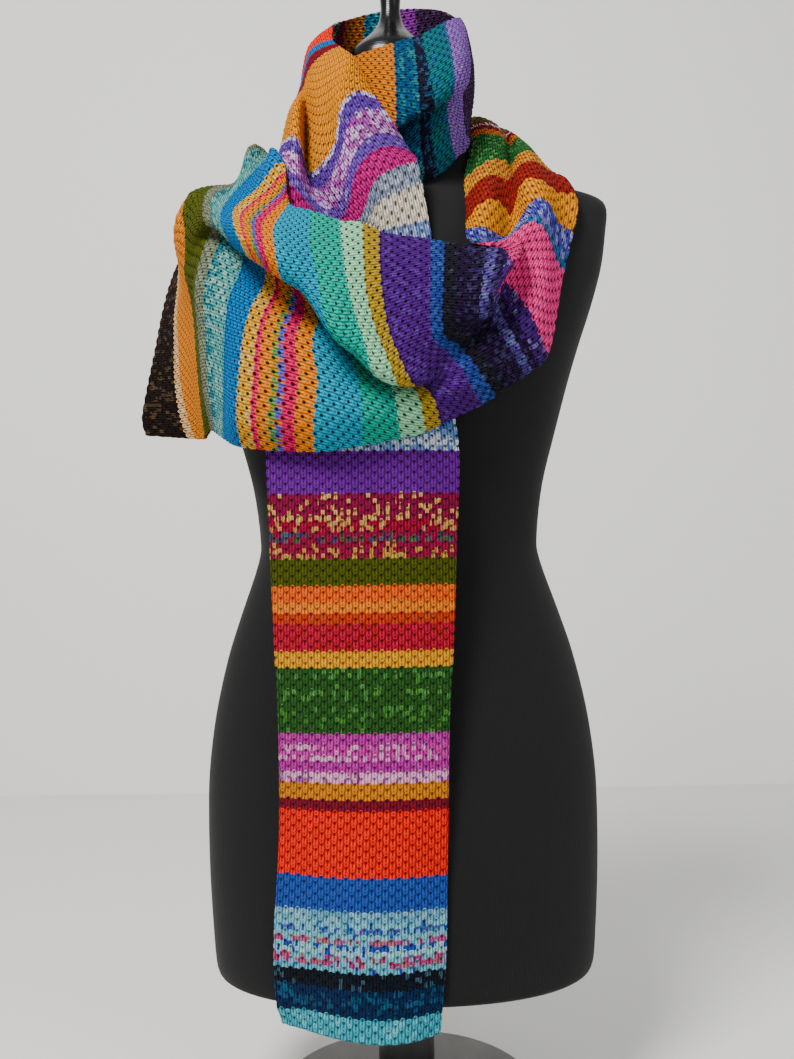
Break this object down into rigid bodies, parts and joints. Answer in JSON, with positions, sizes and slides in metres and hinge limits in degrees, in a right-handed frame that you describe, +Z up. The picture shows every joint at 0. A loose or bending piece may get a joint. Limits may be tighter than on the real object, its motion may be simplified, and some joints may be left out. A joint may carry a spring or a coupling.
{
  "type": "knit scarf on dress form",
  "caption": "Long striped knit scarf wound round the neck of a limbless dress form, falling as a cowl over the chest with one tail hanging to the hip.",
  "frame": {"origin": "centre of the underside of the stand's base disc", "axes": "+Z up; -Y is the front, where the tail hangs; +X is to the right of someone who looks at the front"},
  "size_m": [0.4419, 0.2959, 1.062],
  "materials": {
    "knit": "open tuck-stitch knit in many striped yarns",
    "form_jersey": "fine ribbed charcoal jersey",
    "black_lacquer": "turned wood, glossy black lacquer",
    "black_steel": "satin black powder coat"
  },
  "bodies": {
    "root": {"scarf_tail": "knit", "scarf_chest": "knit", "scarf_neck_left": "knit", "scarf_neck_back": "knit", "scarf_neck_front": "knit", "scarf_neck_under": "knit", "scarf_shoulder_right": "knit", "scarf_cowl_right": "knit", "scarf_cowl_left": "knit", "scarf_shoulder_left": "knit", "scarf_end": "knit", "form_torso": "form_jersey", "form_neck_cap": "black_lacquer", "stand_base": "black_steel", "stand_pole": "black_steel"}
  },
  "joints": []
}
